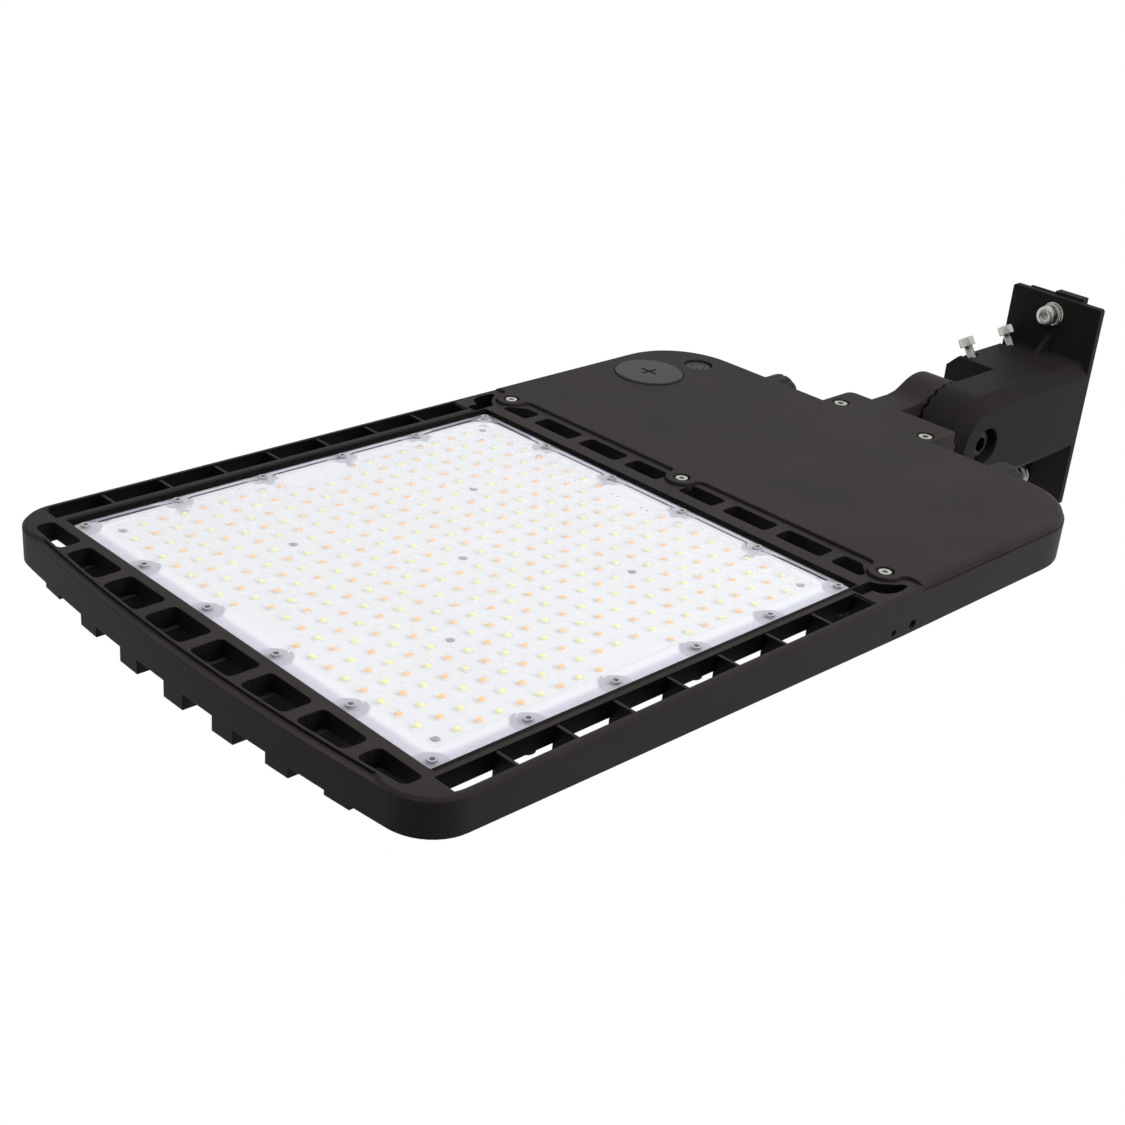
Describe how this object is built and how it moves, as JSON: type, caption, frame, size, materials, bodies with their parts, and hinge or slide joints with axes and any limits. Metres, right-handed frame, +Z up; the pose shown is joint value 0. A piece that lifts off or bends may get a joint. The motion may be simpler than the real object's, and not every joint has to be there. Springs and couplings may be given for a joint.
{
  "type": "street light",
  "caption": "Pole-mounted street light: flat square LED head with open cast side ribs, driver box with round access cap, toothed tilting knuckle and short arm with a pole plate and socket.",
  "frame": {"origin": "centre of the pole socket's mouth, on the back face of the pole plate", "axes": "+Y out of the pole socket into the pole, +Z up, the head lies along -Y with its lens facing -Z"},
  "size_m": [0.324, 0.7214, 0.148],
  "materials": {
    "cast_grey": "satin powder coat",
    "cast_dark": "satin powder coat",
    "zinc": "zinc plated",
    "black_plated": "black plated",
    "clear_lens": "clear polycarbonate",
    "board_white": "white solder mask on aluminium",
    "led_warm": "orange phosphor",
    "led_cool": "yellow phosphor",
    "seal_black": "matt",
    "seal_grey": "matt silicone",
    "driver_case": "plain",
    "blue_case": "matt",
    "white_plastic": "matt",
    "green_screw": "green plated",
    "lead_sheath": "silicone sheath",
    "black_plastic": "fine grain",
    "red_knob": "gloss",
    "orange_knob": "gloss"
  },
  "bodies": {
    "arm": {"arm": "cast_grey", "pivot_bolt": "zinc", "pivot_washer": "zinc", "pivot_nut": "zinc", "plate_bolts": "zinc", "spring_washers": "zinc", "flat_washers": "zinc", "nut_plates": "black_plated"},
    "head": {"housing": "cast_grey", "driver_cover": "cast_grey", "cover_gasket": "seal_black", "cover_screws": "zinc", "led_board": "board_white", "leds_warm": "led_warm", "leds_cool": "led_cool", "board_screws": "zinc", "lens": "clear_lens", "lens_gasket": "seal_grey", "lens_screws": "zinc", "led_driver": "driver_case", "driver_screws": "zinc", "surge_protector": "blue_case", "terminal_block": "white_plastic", "earth_screw": "green_screw", "output_lead": "lead_sheath", "supply_lead": "lead_sheath", "lead_grommet": "seal_black", "selector_cup": "black_plastic", "selector_board": "white_plastic", "vent_plug": "black_plastic", "vent_nut": "black_plastic", "gland_bodies": "black_plastic", "gland_nuts": "black_plastic", "gland_plugs": "seal_black", "gland_locknuts": "black_plastic", "knuckle_base": "cast_dark", "base_screws": "zinc"},
    "cap_ring": {"cap_seal": "seal_black"},
    "cap": {"access_cap": "black_plastic"},
    "power_switch": {"power_slider": "red_knob"},
    "colour_switch": {"colour_slider": "orange_knob"},
    "clamp_front": {"clamp_screw_front": "zinc"},
    "clamp_rear": {"clamp_screw_rear": "zinc"}
  },
  "joints": [
    {"name": "tilt", "type": "hinge", "parent": "arm", "child": "head", "pos_m": [0, -0.121, 0], "axis": [-1, 0, 0], "range_deg": [-45, 90]},
    {"name": "cap_pull", "type": "slide", "parent": "head", "child": "cap_ring", "axis": [0, 0, -1], "range_m": [0, 0.03]},
    {"name": "cap_turn", "type": "hinge", "parent": "cap_ring", "child": "cap", "pos_m": [0.1268, -0.2728, -0.0288], "axis": [0, 0, -1], "range_deg": [0, 90]},
    {"name": "power_set", "type": "slide", "parent": "head", "child": "power_switch", "axis": [1, 0, 0], "range_m": [0, 0.008]},
    {"name": "colour_set", "type": "slide", "parent": "head", "child": "colour_switch", "axis": [1, 0, 0], "range_m": [0, 0.008]},
    {"name": "clamp_front_travel", "type": "slide", "parent": "arm", "child": "clamp_front", "axis": [-0.5693, 0, 0.8221], "range_m": [0, 0.0075]},
    {"name": "clamp_rear_travel", "type": "slide", "parent": "arm", "child": "clamp_rear", "axis": [-0.5693, 0, 0.8221], "range_m": [0, 0.0075]}
  ]
}
